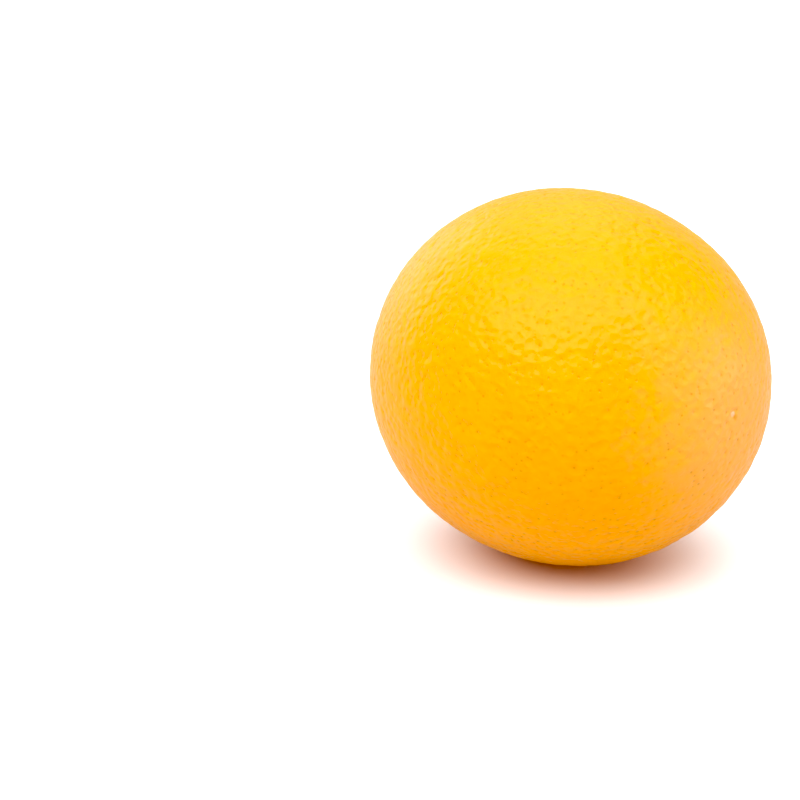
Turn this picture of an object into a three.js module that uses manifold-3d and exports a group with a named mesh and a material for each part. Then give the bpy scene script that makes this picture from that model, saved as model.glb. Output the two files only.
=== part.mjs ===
// A whole sweet orange, a little longer than it is wide, lying on its side with its core level.
// Millimetres, +Z up. The origin is the middle of the small flat spot that the fruit rests on.
// +X runs along the core, from the stem end to the blossom end.
import * as THREE from "three";
import { mergeVertices } from "three/addons/utils/BufferGeometryUtils.js";
import Module from "manifold-3d";

// The whole fruit
const fruitLength = 83.3; // along the core, over the scarred end and the button
const fruitDiameter = 76; // across the core, at the middle
const restSpotWidth = 14; // across the flat spot underneath

// The stem end: a shallow round dip with the dried button of the stem in it
const stemDipDiameter = 18;
const stemDipDepth = 2.6; // below the even curve of the end
const buttonDiameter = 7.5; // over the middle of its lobes
const buttonHeight = 0.9;
const buttonLobes = 5;
const lobeReach = 0.6; // how far each lobe stands out past the button's mean edge
const stubDiameter = 3.4; // the broken stem in the middle of the button
const stubHeight = 0.4; // above the button

// The blossom end: a faint dip, and a small round scar a little above the end of the core
const blossomDipDiameter = 20;
const blossomDipDepth = 0.35;
const scarDiameter = 2.6;
const scarDepth = 0.35;
const scarRise = 2.2; // from the end of the core up to the middle of the scar

// The rind is not quite even: slow waves over it, each with its own direction and starting angle
const swellHeight = 0.2;
const swellWaves = [
  { x: -2.9, y: 0, z: -1.7, start: 2.4 },
  { x: -2.6, y: 0.9, z: 2.4, start: 2.2 },
  { x: -2.4, y: 0.7, z: -2.2, start: 5.6 },
];

// How finely the surface is divided
const sidesAround = 60;
const ringsOverStub = 4;
const ringsOverButton = 5;
const ringsOverStemDip = 7;
const ringsOverScar = 5;
const ringsOverBlossomDip = 3;
const ringsOverFlank = 12; // from each dip's edge to the fruit's middle
const mergeWithin = 1e-3; // points closer together than this are one point

const halfLength = fruitLength / 2;
const radius = fruitDiameter / 2;

// How far round the profile, from an end of the core, the body is this wide.
function turnAtDiameter(diameter) {
  return Math.asin(diameter / fruitDiameter);
}

// Angles round the profile from one end to the fruit's middle, with even steps between the marks.
function turnsFromEnd(marks) {
  const turns = [0];
  for (const { diameter, rings } of marks) {
    const from = turns[turns.length - 1];
    const to = turnAtDiameter(diameter);
    for (let i = 1; i <= rings; i += 1) turns.push(from + ((to - from) * i) / rings);
  }
  return turns;
}

// The body: half an ellipse turned about the core, which starts out along +Y.
function makeBody() {
  const stemTurns = turnsFromEnd([
    { diameter: stubDiameter, rings: ringsOverStub },
    { diameter: buttonDiameter + 2 * lobeReach, rings: ringsOverButton },
    { diameter: stemDipDiameter, rings: ringsOverStemDip },
    { diameter: fruitDiameter, rings: ringsOverFlank },
  ]);
  const blossomTurns = turnsFromEnd([
    { diameter: scarDiameter + 2 * scarRise, rings: ringsOverScar },
    { diameter: blossomDipDiameter, rings: ringsOverBlossomDip },
    { diameter: fruitDiameter, rings: ringsOverFlank },
  ]);
  const turns = [...stemTurns, ...blossomTurns.reverse().slice(1).map((turn) => Math.PI - turn)];
  const profile = turns.map(
    (turn) => new THREE.Vector2(radius * Math.sin(turn), -halfLength * Math.cos(turn)),
  );
  profile[0].x = 0;
  profile[profile.length - 1].x = 0;
  const body = new THREE.LatheGeometry(profile, sidesAround);
  body.deleteAttribute("normal");
  body.deleteAttribute("uv");
  return mergeVertices(body.rotateZ(-Math.PI / 2), mergeWithin);
}

// 1 at the middle of a round patch, falling smoothly to 0 at its edge.
function fade(distance, patchRadius) {
  const share = Math.min(distance / patchRadius, 1);
  return (1 - share * share) ** 2;
}

// 1 over most of a round patch, with a rounded shoulder down to 0 at its edge.
function plateau(distance, patchRadius) {
  const share = Math.min(distance / patchRadius, 1);
  return 1 - share ** 4;
}

function swellAt(direction) {
  const waves = swellWaves.map(({ x, y, z, start }) =>
    Math.sin(x * direction.x + y * direction.y + z * direction.z + start),
  );
  return swellHeight * waves.reduce((sum, wave) => sum + wave, 0);
}

// Moves each point of the plain body to where the fruit's dips, button, stub, scar and swells put it.
function shapeRind(geometry) {
  const points = geometry.getAttribute("position");
  const point = new THREE.Vector3();
  const direction = new THREE.Vector3();
  for (let i = 0; i < points.count; i += 1) {
    point.fromBufferAttribute(points, i);
    direction.set(point.x / halfLength, point.y / radius, point.z / radius);
    const fromCore = Math.hypot(point.y, point.z);
    const around = Math.atan2(point.z, point.y);
    const edge = buttonDiameter / 2 + lobeReach * Math.cos(buttonLobes * around);
    let along = 0;
    if (point.x < 0) {
      along += stemDipDepth * fade(fromCore, stemDipDiameter / 2);
      along -= buttonHeight * plateau(fromCore, edge);
      along -= stubHeight * plateau(fromCore, stubDiameter / 2);
    } else {
      along -= blossomDipDepth * fade(fromCore, blossomDipDiameter / 2);
      along -= scarDepth * fade(Math.hypot(point.y, point.z - scarRise), scarDiameter / 2);
    }
    point.addScaledVector(direction, swellAt(direction));
    points.setXYZ(i, point.x + along, point.y, point.z);
  }
  return geometry;
}

// Brings the shaped fruit to its stated length and diameter, centred on the origin.
function fitToSize(geometry) {
  geometry.computeBoundingBox();
  const size = geometry.boundingBox.getSize(new THREE.Vector3());
  geometry.center();
  return geometry.scale(fruitLength / size.x, fruitDiameter / size.y, fruitDiameter / size.z);
}

const wasm = await Module();
wasm.setup();

function toSolid(geometry) {
  const plain = geometry.clone();
  plain.deleteAttribute("normal");
  plain.deleteAttribute("uv");
  const merged = mergeVertices(plain, mergeWithin);
  return new wasm.Manifold(
    new wasm.Mesh({
      numProp: 3,
      vertProperties: merged.getAttribute("position").array,
      triVerts: new Uint32Array(merged.index.array),
    }),
  );
}

function toGeometry(solid) {
  const { vertProperties, triVerts } = solid.getMesh();
  const geometry = new THREE.BufferGeometry();
  geometry.setAttribute("position", new THREE.BufferAttribute(vertProperties, 3));
  geometry.setIndex(new THREE.BufferAttribute(triVerts, 1));
  geometry.computeVertexNormals();
  return geometry;
}

// Stands the fruit on z = 0 with its lowest rind pressed flat.
function restOnFlatSpot(geometry) {
  const pressedIn = radius - Math.sqrt(radius ** 2 - (restSpotWidth / 2) ** 2);
  geometry.translate(0, 0, radius - pressedIn);
  const below = new THREE.BoxGeometry(2 * fruitLength, 2 * fruitDiameter, fruitDiameter);
  below.translate(0, 0, -fruitDiameter / 2);
  return toGeometry(toSolid(geometry).subtract(toSolid(below)));
}

const peel = new THREE.MeshStandardMaterial({ color: 0xf7a30a, roughness: 0.45, metalness: 0 });
const orange = new THREE.Mesh(restOnFlatSpot(fitToSize(shapeRind(makeBody()))), peel);
orange.name = "orange";

const fruit = new THREE.Group();
fruit.add(orange);

export default fruit;
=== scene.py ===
import math
import random

import bmesh
import bpy
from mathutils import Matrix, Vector, kdtree, noise


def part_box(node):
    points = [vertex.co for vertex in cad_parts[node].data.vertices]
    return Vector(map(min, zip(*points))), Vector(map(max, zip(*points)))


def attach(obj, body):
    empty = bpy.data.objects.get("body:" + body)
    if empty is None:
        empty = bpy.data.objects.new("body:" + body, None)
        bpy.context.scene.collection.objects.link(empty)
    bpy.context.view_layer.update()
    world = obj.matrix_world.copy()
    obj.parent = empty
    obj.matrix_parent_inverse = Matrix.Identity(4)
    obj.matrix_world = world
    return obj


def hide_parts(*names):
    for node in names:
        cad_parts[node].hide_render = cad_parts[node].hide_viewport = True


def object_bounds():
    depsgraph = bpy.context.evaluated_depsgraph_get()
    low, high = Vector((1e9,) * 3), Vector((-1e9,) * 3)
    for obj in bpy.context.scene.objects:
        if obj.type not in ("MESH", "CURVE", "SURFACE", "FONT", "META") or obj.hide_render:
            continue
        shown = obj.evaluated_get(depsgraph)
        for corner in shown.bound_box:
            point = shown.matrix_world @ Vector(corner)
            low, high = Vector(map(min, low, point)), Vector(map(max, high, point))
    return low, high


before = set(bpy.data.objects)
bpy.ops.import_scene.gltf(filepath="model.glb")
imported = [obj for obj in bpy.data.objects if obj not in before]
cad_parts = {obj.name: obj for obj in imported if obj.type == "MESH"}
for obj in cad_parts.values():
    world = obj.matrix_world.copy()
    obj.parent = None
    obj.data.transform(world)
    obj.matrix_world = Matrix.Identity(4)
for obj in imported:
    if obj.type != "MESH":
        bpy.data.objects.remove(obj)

mm = 0.001
cadLow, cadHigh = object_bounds()
fruitLow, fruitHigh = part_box("orange")
halfLength = (fruitHigh.x - fruitLow.x) / 2
radius = (fruitHigh.y - fruitLow.y) / 2
middle = Vector((0, 0, fruitHigh.z - radius))
print("frame loaded")


# Shader sums are written as Python: a Wire is one socket, and each operator adds its Math node.
class Wire:
    def __init__(self, tree, socket=None):
        self.tree = tree
        self.socket = socket

    def add(self, kind, settings=None, inputs=None, output=0):
        made = self.tree.nodes.new("ShaderNode" + kind)
        for name, value in (settings or {}).items():
            setattr(made, name, value)
        for name, value in (inputs or {}).items():
            if isinstance(value, Wire):
                self.tree.links.new(value.socket, made.inputs[name])
            else:
                made.inputs[name].default_value = value
        return Wire(self.tree, made.outputs[output])

    def finish(self, shader):
        end = self.tree.nodes.new("ShaderNodeOutputMaterial")
        self.tree.links.new(shader.socket, end.inputs["Surface"])

    def maths(self, operation, first, second):
        return self.add("Math", {"operation": operation}, {0: first, 1: second})

    def __add__(self, other):
        return self.maths("ADD", self, other)

    def __sub__(self, other):
        return self.maths("SUBTRACT", self, other)

    def __rsub__(self, other):
        return self.maths("SUBTRACT", other, self)

    def __mul__(self, other):
        return self.maths("MULTIPLY", self, other)

    __radd__ = __add__
    __rmul__ = __mul__

    def ramp(self, low, high, to=(0.0, 1.0)):
        # 0 below low, 1 above high, smooth between; low may be the larger of the two
        return self.add(
            "MapRange",
            {"interpolation_type": "SMOOTHSTEP"},
            {"Value": self, "From Min": low, "From Max": high, "To Min": to[0], "To Max": to[1]},
        )


def newMaterial(name):
    material = bpy.data.materials.new(name)
    material.use_nodes = True
    material.node_tree.nodes.clear()
    return material, Wire(material.node_tree)


def fade(distance, reach):
    # 1 at the middle of a round patch, falling smoothly to 0 at its edge
    share = min(distance / reach, 1)
    return (1 - share * share) ** 2


def bell(distance, width):
    return math.exp(-((distance / width) ** 2))


def mixNumbers(ends, share):
    return ends[0] + (ends[1] - ends[0]) * share


# The whole fruit: the same swells and dips as the solid it stands for
body = {
    "startLevel": 4,  # how finely the starting ball is divided
    "edgeCuts": 11,  # new points along each of its edges
    "swellHeight": 0.2 * mm,
    "swellWaves": (
        (Vector((-2.9, 0, -1.7)), 2.4),
        (Vector((-2.6, 0.9, 2.4)), 2.2),
        (Vector((-2.4, 0.7, -2.2)), 5.6),
    ),
    "restEdge": 0.06 * mm,  # how softly the flat spot turns up into the flank
}

stemEnd = {
    "dipReach": 9 * mm,
    "dipDepth": 2.6 * mm,
    "buttonRadius": 3.75 * mm,
    "lobes": 5,
    "lobeReach": 0.6 * mm,
    "lobeHeight": 0.9 * mm,
    "lobeWaver": ((3, 1.1, 0.12 * mm), (8, 0, 0.08 * mm)),  # waves round, start, height
    "valleyDrop": 0.2,  # share of the height lost between two lobes
    "rimDrop": 0.35,  # and at the rim
    "wrinkles": 31,
    "wrinkleTwist": 5,
    "wrinkleHeight": 0.25 * mm,
    "stubRadius": 1.7 * mm,
    "stubHeight": 0.4 * mm,
    "stubHollow": 0.3 * mm,
    "stubHollowShare": 0.8,  # of the stub's radius
    "gutterDepth": 0.35 * mm,
    "gutterWidth": 0.45 * mm,
    "furrows": 9,
    "furrowWander": ((2, 1, 0.9), (5, 0, 0.5)),  # waves round, start, radians
    "furrowReach": 16 * mm,
    "furrowReachWaver": ((4, 2, 0.25),),  # waves round, start, share of the reach
    "furrowDepth": 0.55 * mm,
    "edgeSoftness": 0.3 * mm,  # over which the button's colour gives way to the rind's
    "creaseShadeShift": 0.2 * mm,  # from the button's edge out to the darkest of the painted shade in the crease
    "creaseShadeWidth": 0.4 * mm,
    "collarReach": 11 * mm,
    "collarShare": 0.5,  # how green the rind is between the furrows, of the furrows' green
    "fineReach": (6.8 * mm, 4.7 * mm),  # the mesh is cut finer once inside each of these
}

blossomEnd = {
    "dipReach": 10 * mm,
    "dipDepth": 0.35 * mm,
    "scarRise": 2.2 * mm,
    "scarReach": 1.3 * mm,
    "scarDepth": 0.35 * mm,
    "nubWidth": 0.42 * mm,
    "nubHeight": 0.3 * mm,
    "fineReach": (3 * mm, 2 * mm),
}

pits = {
    "seed": 5,
    "spacing": 1.75 * mm,
    "cell": 0.866,  # rind for each pit, as a share of the spacing squared
    "scatter": 0.9,  # share of the spacing that a pit is first moved by
    "evenings": 2,  # rounds of pushing close neighbours apart
    "pushReach": 1.1,  # spacings: neighbours nearer than this push each other
    "push": 0.3,
    "closest": 1.1 * mm,  # of two pits nearer than this, only one is kept
    "width": (0.42 * mm, 0.8 * mm),
    "widthByStrength": 0.6,  # share of the width that goes with the depth; the rest is chance
    "depth": (0.03 * mm, 0.16 * mm),
    "rarity": 1.5,  # the larger, the fewer deep pits
    "neighbours": 5,  # how many pits can reach one point
    "pebbleSize": 2.2 * mm,
    "pebbleHeight": 0.1 * mm,
    "waveSize": 10 * mm,
    "waveHeight": 0.09 * mm,
    "sink": 0.08 * mm,  # keeps the tops of the pebbles inside the frame's box
}


def fromCore(point):
    return math.hypot(point.y, point.z)


def fromScar(point):
    return math.hypot(point.y, point.z - blossomEnd["scarRise"])


def waver(angle, waves):
    # slow waves round the core, which keep a repeated feature from being even
    return sum(height * math.sin(count * angle + start) for count, start, height in waves)


def buttonEdge(angle):
    # the outline of the dried button: blunt lobes, no two quite alike
    lobe = stemEnd["lobeReach"] * math.cos(stemEnd["lobes"] * angle)
    return stemEnd["buttonRadius"] + lobe + waver(angle, stemEnd["lobeWaver"])


def swell(direction):
    waves = (math.sin(wave.dot(direction) + start) for wave, start in body["swellWaves"])
    return body["swellHeight"] * sum(waves)


def buttonHeight(distance, angle):
    share = distance / buttonEdge(angle)
    if share > 1:
        return 0
    lobes = 1 + stemEnd["valleyDrop"] * (math.cos(stemEnd["lobes"] * angle) * share - 1)
    rounded = (1 - stemEnd["rimDrop"] * share * share) * (1 - share**6)
    height = stemEnd["lobeHeight"] * lobes * rounded
    wrinkle = math.sin(stemEnd["wrinkles"] * angle + stemEnd["wrinkleTwist"] * share)
    height += stemEnd["wrinkleHeight"] * wrinkle * share * (1 - share)
    stubShare = distance / stemEnd["stubRadius"]
    if stubShare < 1:
        height += stemEnd["stubHeight"] * (1 - stubShare**8)
        hollowReach = stemEnd["stubHollowShare"] * stemEnd["stubRadius"]
        height -= stemEnd["stubHollow"] * fade(distance, hollowReach)
    return height


def furrow(distance, angle):
    # 1 in the middle of a groove; they run out over the shoulder of the dip, each to its own length
    wander = waver(angle, stemEnd["furrowWander"])
    groove = max(0, math.cos(stemEnd["furrows"] * angle + wander)) ** 3
    reach = stemEnd["furrowReach"] * (0.75 + waver(angle, stemEnd["furrowReachWaver"]))
    return groove * fade(distance, reach)


def stemRise(point):
    # how far the rind stands out along the core at the stem end, past the even curve
    distance = fromCore(point)
    angle = math.atan2(point.z, point.y)
    outside = distance - buttonEdge(angle)
    rise = buttonHeight(distance, angle)
    rise -= stemEnd["dipDepth"] * fade(distance, stemEnd["dipReach"])
    rise -= stemEnd["gutterDepth"] * bell(outside - stemEnd["gutterWidth"], stemEnd["gutterWidth"])
    if outside > 0:
        rise -= stemEnd["furrowDepth"] * furrow(distance, angle)
    return rise


def blossomRise(point):
    distance = fromScar(point)
    rise = blossomEnd["nubHeight"] * bell(distance, blossomEnd["nubWidth"])
    rise -= blossomEnd["dipDepth"] * fade(fromCore(point), blossomEnd["dipReach"])
    rise -= blossomEnd["scarDepth"] * fade(distance, blossomEnd["scarReach"])
    return rise


def rindPoint(direction):
    # where the rind lies in this direction from the fruit's middle, before its pits
    point = Vector((direction.x * halfLength, direction.y * radius, direction.z * radius))
    rise = -stemRise(point) if direction.x < 0 else blossomRise(point)
    return point + direction * swell(direction) + Vector((rise, 0, 0))


def refine(bm, isInside):
    # cuts every edge inside a patch in two
    edges = [edge for edge in bm.edges if all(isInside(vert.co) for vert in edge.verts)]
    bmesh.ops.subdivide_edges(bm, edges=edges, cuts=1, use_grid_fill=True)
    bmesh.ops.triangulate(bm, faces=[face for face in bm.faces if len(face.verts) > 3])


def makeBall():
    bm = bmesh.new()
    bmesh.ops.create_icosphere(bm, subdivisions=body["startLevel"], radius=1)
    bmesh.ops.subdivide_edges(bm, edges=bm.edges[:], cuts=body["edgeCuts"], use_grid_fill=True)
    for vert in bm.verts:
        vert.co.normalize()
    for reach in stemEnd["fineReach"]:
        refine(bm, lambda co: co.x < 0 and fromCore(co * radius) < reach)
    for reach in blossomEnd["fineReach"]:
        refine(bm, lambda co: co.x > 0 and fromScar(co * radius) < reach)
    for vert in bm.verts:
        vert.co.normalize()
    return bm


def makeTree(points):
    tree = kdtree.KDTree(len(points))
    for i, point in enumerate(points):
        tree.insert(point, i)
    tree.balance()
    return tree


def spreadPits():
    # an even but irregular spread of directions over the ball
    rng = random.Random(pits["seed"])
    spacing = pits["spacing"] / radius
    count = int(4 * math.pi / (pits["cell"] * spacing * spacing))
    spots = []
    for i in range(count):
        height = 1 - 2 * (i + 0.5) / count
        turn = i * math.pi * (3 - math.sqrt(5))
        ring = math.sqrt(1 - height * height)
        spot = Vector((ring * math.cos(turn), ring * math.sin(turn), height))
        nudge = Vector((rng.gauss(0, 1), rng.gauss(0, 1), rng.gauss(0, 1)))
        spots.append((spot + nudge * pits["scatter"] * spacing).normalized())
    reach = pits["pushReach"] * spacing
    for _ in range(pits["evenings"]):
        tree = makeTree(spots)
        moved = []
        for i, spot in enumerate(spots):
            push = Vector()
            for other, j, gap in tree.find_range(spot, reach):
                if j != i:
                    push += (spot - other) * (reach / max(gap, 1e-6) - 1) * pits["push"]
            moved.append((spot + push).normalized())
        spots = moved
    tree = makeTree(spots)
    closest = pits["closest"] / radius
    return [
        spot
        for i, spot in enumerate(spots)
        if all(j >= i for _, j, _ in tree.find_range(spot, closest))
    ]


def fitToFrame(bm):
    low = Vector(tuple(min(vert.co[axis] for vert in bm.verts) for axis in range(3)))
    high = Vector(tuple(max(vert.co[axis] for vert in bm.verts) for axis in range(3)))
    size = high - low
    stretch = Vector((2 * halfLength / size.x, 2 * radius / size.y, 2 * radius / size.z))
    bmesh.ops.translate(bm, verts=bm.verts, vec=-(low + high) / 2)
    bmesh.ops.scale(bm, verts=bm.verts, vec=stretch)


def inside(depth):
    # 1 well inside an outline and 0 well outside it
    return min(max(depth / stemEnd["edgeSoftness"] + 0.5, 0), 1)


def markEnds(bm):
    # for the finish: the button, the stub in its middle, the painted shade in the crease, and the
    # greenish rind round it
    layers = bm.verts.layers.float
    button, stub, creaseShade, collar = (layers.new(name) for name in ("button", "stub", "creaseShade", "collar"))
    for vert in bm.verts:
        if vert.co.x < 0:
            distance = fromCore(vert.co)
            angle = math.atan2(vert.co.z, vert.co.y)
            edge = buttonEdge(angle)
            vert[button] = inside(edge - distance)
            vert[stub] = inside(stemEnd["stubRadius"] - distance)
            # painted shade: darkening in the crease just outside the button
            vert[creaseShade] = bell(distance - edge - stemEnd["creaseShadeShift"], stemEnd["creaseShadeWidth"])
            between = stemEnd["collarShare"] * fade(distance, stemEnd["collarReach"])
            vert[collar] = max(between, furrow(distance, angle))


def pressPits(bm, spots):
    # presses the pits into the rind, and keeps each point's nearest pit for the finish
    centreLayer = bm.verts.layers.float_vector.new("pitCentre")
    distanceLayer = bm.verts.layers.float.new("pitDistance")
    strengthLayer = bm.verts.layers.float.new("pitStrength")
    buttonLayer = bm.verts.layers.float["button"]
    verts = list(bm.verts)
    ballTree = makeTree([vert.co.normalized() for vert in verts])
    homes = [verts[ballTree.find(spot)[1]] for spot in spots]
    pitTree = makeTree([vert.co for vert in homes])
    rng = random.Random(pits["seed"] + 1)
    strengths = [rng.random() ** pits["rarity"] for _ in spots]
    depths = [mixNumbers(pits["depth"], strength) for strength in strengths]
    widths = [
        mixNumbers(pits["width"], mixNumbers((rng.random(), strength), pits["widthByStrength"]))
        for strength in strengths
    ]
    bm.normal_update()
    moves = []
    for vert in verts:
        found = pitTree.find_n(vert.co, pits["neighbours"])
        lift = -pits["sink"]
        for _, i, gap in found:
            lift -= depths[i] * bell(gap, widths[i])
        lift += pits["pebbleHeight"] * noise.noise(vert.co / pits["pebbleSize"])
        lift += pits["waveHeight"] * noise.noise(vert.co / pits["waveSize"])
        moves.append(vert.normal * lift * (1 - vert[buttonLayer]))
        _, nearest, gap = found[0]
        vert[distanceLayer] = gap / mm
        vert[strengthLayer] = strengths[nearest]
        vert[centreLayer] = Vector((nearest, 0, 0))
    for vert, move in zip(verts, moves):
        vert.co += move
    for vert in verts:
        vert[centreLayer] = homes[int(vert[centreLayer].x)].co


def restOnFlatSpot(bm):
    # lifts the fruit to its place over the floor, with its lowest rind pressed flat
    centreLayer = bm.verts.layers.float_vector["pitCentre"]
    for vert in bm.verts:
        vert.co += middle
        vert[centreLayer] = vert[centreLayer] + middle
        vert.co.z = 0.5 * (vert.co.z + math.hypot(vert.co.z, body["restEdge"]))


def makeOrange():
    bm = makeBall()
    for vert in bm.verts:
        vert.co = rindPoint(vert.co)
    fitToFrame(bm)
    markEnds(bm)
    pressPits(bm, spreadPits())
    restOnFlatSpot(bm)
    for face in bm.faces:
        face.smooth = True
    bm.normal_update()
    mesh = bpy.data.meshes.new("wholeOrange")
    bm.to_mesh(mesh)
    bm.free()
    piece = bpy.data.objects.new("wholeOrange", mesh)
    bpy.context.collection.objects.link(piece)
    print("orange shaped,", len(mesh.polygons), "faces")
    return piece


# each pattern's features to the metre, and how many finer layers it has
patterns = {
    "cloud": (45.0, 3.0),
    "mottle": (420.0, 2.0),
    "warp": (300.0, 1.0),
    "grain": (2600.0, 2.0),
    "fibre": (1500.0, 3.0),
}

peelLook = {
    "deep": (0.92, 0.352, 0.002, 1),
    "bright": (0.94, 0.388, 0.003, 1),
    "shadeRange": (0.3, 0.72),  # of the cloud and mottle together: where it is deep, and bright
    "pit": (0.52, 0.23, 0.006, 1),
    "pitTint": 0.55,
    "pitFaintest": 0.35,  # the mark of the faintest pit, as a share of the darkest
    "pitReach": (0.4, 0.06),  # millimetres from a pit: where its mark ends, and is full
    "pitNear": (0.55, 0.42),  # the same by pitDistance, which hides false marks between pits
    "roughness": 0.36,
    "mottleRoughness": 0.16,
    "pitRoughness": 0.12,
    "buttonRoughness": 0.3,
}

peelRelief = {
    "depth": 0.165 * mm,  # of the dimples; the rest are shares of it
    "dimpleScale": 560.0,  # dimples to the metre
    "dimpleSmoothness": 0.4,
    "dimpleRange": (0.05, 0.75),
    "warp": 1.2 * mm,
    "grain": 0.08,
    "mottle": 0.2,
    "pit": 0.5,
    "fibre": 1.2,
}

stemLook = {
    "collar": (0.6, 0.42, 0.018, 1),
    "collarRange": (0.3, 0.9),  # its strength where the mottle is 0, and what the mottle adds
    # painted shade in the crease round the button
    "creaseShade": (0.3, 0.16, 0.012, 1),
    "creaseShadeShare": 0.7,
    "buttonGreen": (0.19, 0.17, 0.045, 1),
    "buttonBrown": (0.1, 0.06, 0.022, 1),
    "greenRange": (0.42, 0.6),
    "stubPale": (0.4, 0.28, 0.14, 1),
    "stubDark": (0.17, 0.1, 0.04, 1),
    "stubRange": (0.3, 0.65),
}

blossomLook = {
    # painted sheen: a paler rind round the scar, standing in for reflected light on that flank
    "paintedSheen": (0.9, 0.39, 0.072, 1),
    "paintedSheenShare": 0.85,
    "paintedSheenReach": (30 * mm, 4 * mm),  # from the scar: where the painted sheen ends, and where it is strongest
    "paintedSheenCloud": 20 * mm,  # how far the cloud and the mottle move its edge
    "paintedSheenMottle": 18 * mm,
    "scarPale": (0.93, 0.5, 0.26, 1),
    "scarPaleReach": (0.75 * mm, 0.35 * mm),
    "scarDark": (0.66, 0.28, 0.02, 1),
    "scarDarkShare": 0.6,
    "scarDarkReach": (0.9 * mm, 0.3 * mm),
    "scarDarkShift": Vector((0, 0.7, -0.8)) * mm,
}


def mixColours(wire, share, first, second):
    return wire.add("Mix", {"data_type": "RGBA"}, {"Factor": share, 6: first, 7: second}, output=2)


def distanceTo(wire, place, point):
    return wire.add("VectorMath", {"operation": "DISTANCE"}, {0: place, 1: point}, output="Value")


def pattern(wire, place, name, output="Fac"):
    scale, detail = patterns[name]
    inputs = {"Vector": place, "Scale": scale, "Detail": detail}
    return wire.add("TexNoise", inputs=inputs, output=output)


def marked(wire, name, output="Fac"):
    # reads one of the marks that the shape carries
    return wire.add("Attribute", {"attribute_name": name}, output=output)


def dimplePattern(wire, place):
    shift = (peelRelief["warp"],) * 3
    warp = pattern(wire, place, "warp", output="Color")
    warped = wire.add("VectorMath", {"operation": "MULTIPLY_ADD"}, {0: warp, 1: shift, 2: place})
    return wire.add(
        "TexVoronoi",
        {"feature": "SMOOTH_F1"},
        {
            "Vector": warped,
            "Scale": peelRelief["dimpleScale"],
            "Smoothness": peelRelief["dimpleSmoothness"],
        },
        output="Distance",
    )


def rindColour(wire, place, cloudy, mottled, strength, pitMark):
    scarPlace = Vector((cadHigh.x - blossomEnd["scarDepth"], 0, middle.z + blossomEnd["scarRise"]))
    toScar = distanceTo(wire, place, scarPlace)
    toScarSide = distanceTo(wire, place, scarPlace + blossomLook["scarDarkShift"])
    shade = (cloudy * 0.5 + mottled * 0.5).ramp(*peelLook["shadeRange"])
    colour = mixColours(wire, shade, peelLook["deep"], peelLook["bright"])

    # painted sheen: a paler patch round the blossom end, with a wandering edge
    wander = (cloudy - 0.5) * blossomLook["paintedSheenCloud"] + (mottled - 0.5) * blossomLook["paintedSheenMottle"]
    paintedSheen = (toScar + wander).ramp(*blossomLook["paintedSheenReach"]) * blossomLook["paintedSheenShare"]
    colour = mixColours(wire, paintedSheen, colour, blossomLook["paintedSheen"])

    least, gain = stemLook["collarRange"]
    collar = marked(wire, "collar") * (least + mottled * gain)
    colour = mixColours(wire, collar, colour, stemLook["collar"])
    # painted shade: darker brown in the crease just outside the button
    creaseShade = marked(wire, "creaseShade") * stemLook["creaseShadeShare"]
    colour = mixColours(wire, creaseShade, colour, stemLook["creaseShade"])

    colour = mixColours(wire, pitMark * strength * peelLook["pitTint"], colour, peelLook["pit"])
    dark = toScarSide.ramp(*blossomLook["scarDarkReach"]) * blossomLook["scarDarkShare"]
    colour = mixColours(wire, dark, colour, blossomLook["scarDark"])
    return mixColours(wire, toScar.ramp(*blossomLook["scarPaleReach"]), colour, blossomLook["scarPale"])


def buttonColour(wire, mottled, fibres):
    greenish = (mottled * 0.5 + fibres * 0.5).ramp(*stemLook["greenRange"])
    woody = mixColours(wire, greenish, stemLook["buttonBrown"], stemLook["buttonGreen"])
    broken = fibres.ramp(*stemLook["stubRange"])
    wood = mixColours(wire, broken, stemLook["stubDark"], stemLook["stubPale"])
    return mixColours(wire, marked(wire, "stub"), woody, wood)


def peelFinish():
    material, wire = newMaterial("peel")
    place = wire.add("TexCoord", output="Object")
    cloudy = pattern(wire, place, "cloud")
    mottled = pattern(wire, place, "mottle")
    grain = pattern(wire, place, "grain")
    fibres = pattern(wire, place, "fibre")
    button = marked(wire, "button")
    bare = 1 - button

    strength = marked(wire, "pitStrength")
    exact = distanceTo(wire, place, marked(wire, "pitCentre", output="Vector"))
    near = marked(wire, "pitDistance").ramp(*peelLook["pitNear"])
    faintest = peelLook["pitFaintest"]
    pitMark = (exact * (1 / mm)).ramp(*peelLook["pitReach"]) * near
    pitMark = pitMark * (faintest + strength * (1 - faintest))

    rind = rindColour(wire, place, cloudy, mottled, strength, pitMark)
    colour = mixColours(wire, button, rind, buttonColour(wire, mottled, fibres))
    roughness = peelLook["roughness"] + (mottled - 0.5) * peelLook["mottleRoughness"]
    roughness = roughness + pitMark * peelLook["pitRoughness"] + button * peelLook["buttonRoughness"]
    height = dimplePattern(wire, place).ramp(*peelRelief["dimpleRange"]) * bare
    height = height + grain * peelRelief["grain"] + mottled * peelRelief["mottle"]
    height = height - pitMark * bare * peelRelief["pit"] + fibres * button * peelRelief["fibre"]
    normal = wire.add("Bump", inputs={"Distance": peelRelief["depth"], "Height": height})
    shader = wire.add(
        "BsdfPrincipled",
        inputs={
            "Base Color": colour,
            "Roughness": roughness,
            "IOR": 1.4,
            "Specular IOR Level": 0.32,
            "Normal": normal,
            "Subsurface Weight": 0.12,
            "Subsurface Radius": (1.0, 0.35, 0.1),
            "Subsurface Scale": 1.2 * mm,
        },
    )
    wire.finish(shader)
    return material


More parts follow.
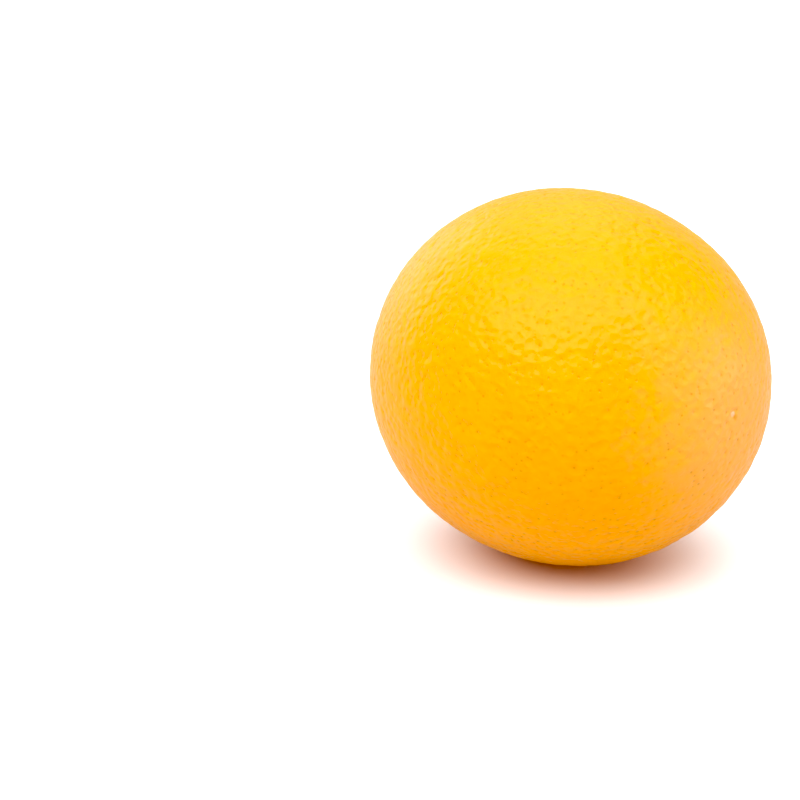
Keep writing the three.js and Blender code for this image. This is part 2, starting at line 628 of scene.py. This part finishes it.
studio = {
    "turn": 45.77,  # the camera's angle round the fruit, in degrees from its side
    "rise": 18.5,  # and above the level
    "distance": 0.45,
    "lens": 100.28,
    "sensor": 36,
    "nearest": 0.01,
    "aside": -34.05 * mm,  # where it looks, from the fruit's middle: to its own right
    "above": -4.97 * mm,  # and up
    "worldStrength": 0.45,
    "worldSeen": 1.1,  # by the camera
    "worldGloss": 0.3,  # added to it in reflections
    "blackLevel": 0.035,  # the faintest light that the picture shows
    "lampDistance": 1.8,
    "floorSize": 2.6,
    "floorColour": (0.72, 0.71, 0.73, 1),
    "floorRoughness": 0.55,
    "floorGlow": (0.13, 0.02, 0, 1),  # painted light: how much brighter the floor is seen than lit close to the fruit, a warm glow in its contact shadow
    "floorFarGlow": (0.45, 0.45, 0.45, 1),  # and away from it, painted light that lightens the edge of the shadow
    "floorGlowReach": (13 * mm, 42 * mm),  # from the fruit's foot: where the second starts, and is full
}

lamps = (
    # name, angle round from the camera, angle up, width, watts
    ("leftKey", -62, 48, 1.5, 17.0),
    ("frontLeft", -24, 37, 0.9, 5.0),
    ("frontFill", 12, 65, 1.5, 16.5),
    ("rightFill", 62, 47, 1.6, 8.0),
    ("rightLow", 88, 6, 0.9, 6.5),
    ("leftRim", -140, 15, 1.6, 8.0),
    ("backRim", 180, 62, 1.6, 8.0),
)


def towards(turn, rise):
    a, e = math.radians(turn), math.radians(rise)
    return Vector((math.sin(a) * math.cos(e), -math.cos(a) * math.cos(e), math.sin(e)))


def makeCamera():
    data = bpy.data.cameras.new("camera")
    data.sensor_width = studio["sensor"]
    data.lens = studio["lens"]
    data.clip_start = studio["nearest"]
    camera = bpy.data.objects.new("camera", data)
    bpy.context.collection.objects.link(camera)
    back = towards(studio["turn"], studio["rise"])
    aside = Vector((-back.y, back.x, 0)).normalized()
    upward = back.cross(aside)
    centre = (fruitLow + fruitHigh) / 2
    aim = centre + aside * studio["aside"] + upward * studio["above"]
    camera.location = aim + back * studio["distance"]
    camera.rotation_euler = (-back).to_track_quat("-Z", "Y").to_euler()
    bpy.context.scene.camera = camera


def makeFloor():
    bm = bmesh.new()
    bmesh.ops.create_grid(bm, x_segments=1, y_segments=1, size=studio["floorSize"] / 2)
    mesh = bpy.data.meshes.new("floor")
    bm.to_mesh(mesh)
    bm.free()
    floor = bpy.data.objects.new("floor", mesh)
    bpy.context.collection.objects.link(floor)
    material, wire = newMaterial("floorPaintedGlow")
    place = wire.add("TexCoord", output="Object")
    # painted light: a glow seen only by the camera, warm in the fruit's contact shadow and white
    # further out, which lightens the shadow
    far = distanceTo(wire, place, (0, 0, 0)).ramp(*studio["floorGlowReach"])
    glow = mixColours(wire, far, studio["floorGlow"], studio["floorFarGlow"])
    seen = wire.add("LightPath", output="Is Camera Ray")
    glow = mixColours(wire, seen, (0, 0, 0, 1), glow)
    shader = wire.add(
        "BsdfPrincipled",
        inputs={
            "Base Color": studio["floorColour"],
            "Roughness": studio["floorRoughness"],
            "Emission Color": glow,
            "Emission Strength": 1.0,
        },
    )
    wire.finish(shader)
    mesh.materials.append(material)


def makeLamps():
    for name, turn, rise, width, watts in lamps:
        data = bpy.data.lights.new(name, "AREA")
        data.shape = "DISK"
        data.size = width
        data.energy = watts
        lamp = bpy.data.objects.new(name, data)
        bpy.context.collection.objects.link(lamp)
        back = towards(studio["turn"] + turn, rise)
        lamp.location = middle + back * studio["lampDistance"]
        lamp.rotation_euler = back.to_track_quat("Z", "Y").to_euler()
    world = bpy.data.worlds.new("studio")
    world.use_nodes = True
    background = world.node_tree.nodes["Background"]
    background.inputs["Color"].default_value = (1, 1, 1, 1)
    wire = Wire(world.node_tree)
    seen = wire.add("LightPath", output="Is Camera Ray")
    mirrored = wire.add("LightPath", output="Is Glossy Ray")
    # the world gives little light, but is seen white, and is brighter in the peel's gloss
    strength = seen.ramp(0, 1, to=(studio["worldStrength"], studio["worldSeen"]))
    strength = strength + mirrored * studio["worldGloss"]
    world.node_tree.links.new(strength.socket, background.inputs["Strength"])
    bpy.context.scene.world = world


def setPicture():
    view = bpy.context.scene.view_settings
    view.view_transform = "Standard"
    view.use_curve_mapping = True
    view.curve_mapping.black_level = (studio["blackLevel"],) * 3
    view.curve_mapping.update()


orange = makeOrange()
orange.data.materials.append(peelFinish())
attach(orange, "root")
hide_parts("orange")
print("peel finished")

makeFloor()
makeLamps()
makeCamera()
setPicture()
print("studio set")
